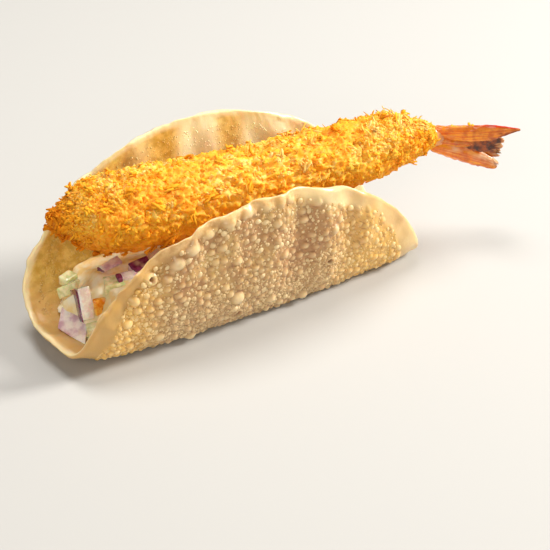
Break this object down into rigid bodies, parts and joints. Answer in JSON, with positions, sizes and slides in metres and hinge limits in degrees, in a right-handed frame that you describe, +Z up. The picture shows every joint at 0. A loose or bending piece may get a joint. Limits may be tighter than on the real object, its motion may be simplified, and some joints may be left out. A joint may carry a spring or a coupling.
{
  "type": "fried prawn taco",
  "caption": "Folded blistered fried wrapper holding a dressed diced salad and a crumbed prawn with its tail showing.",
  "frame": {"origin": "on the ground, in the middle of the flat strip along the fold that the taco rests on", "axes": "+X along the fold towards the prawn's tail, +Y from the short near flap to the tall far flap, +Z up"},
  "size_m": [0.1124, 0.0353, 0.0351],
  "materials": {
    "fried_wrapper": "dry blistered fried dough, pale gold",
    "dressed_salad": "glossy ivory dressing over diced vegetables",
    "crumb_coat": "golden fried breadcrumbs",
    "tail_shell": "glossy cooked prawn shell"
  },
  "bodies": {
    "root": {"shell": "fried_wrapper", "salad": "dressed_salad", "prawn": "crumb_coat", "prawn_tail": "tail_shell"}
  },
  "joints": []
}
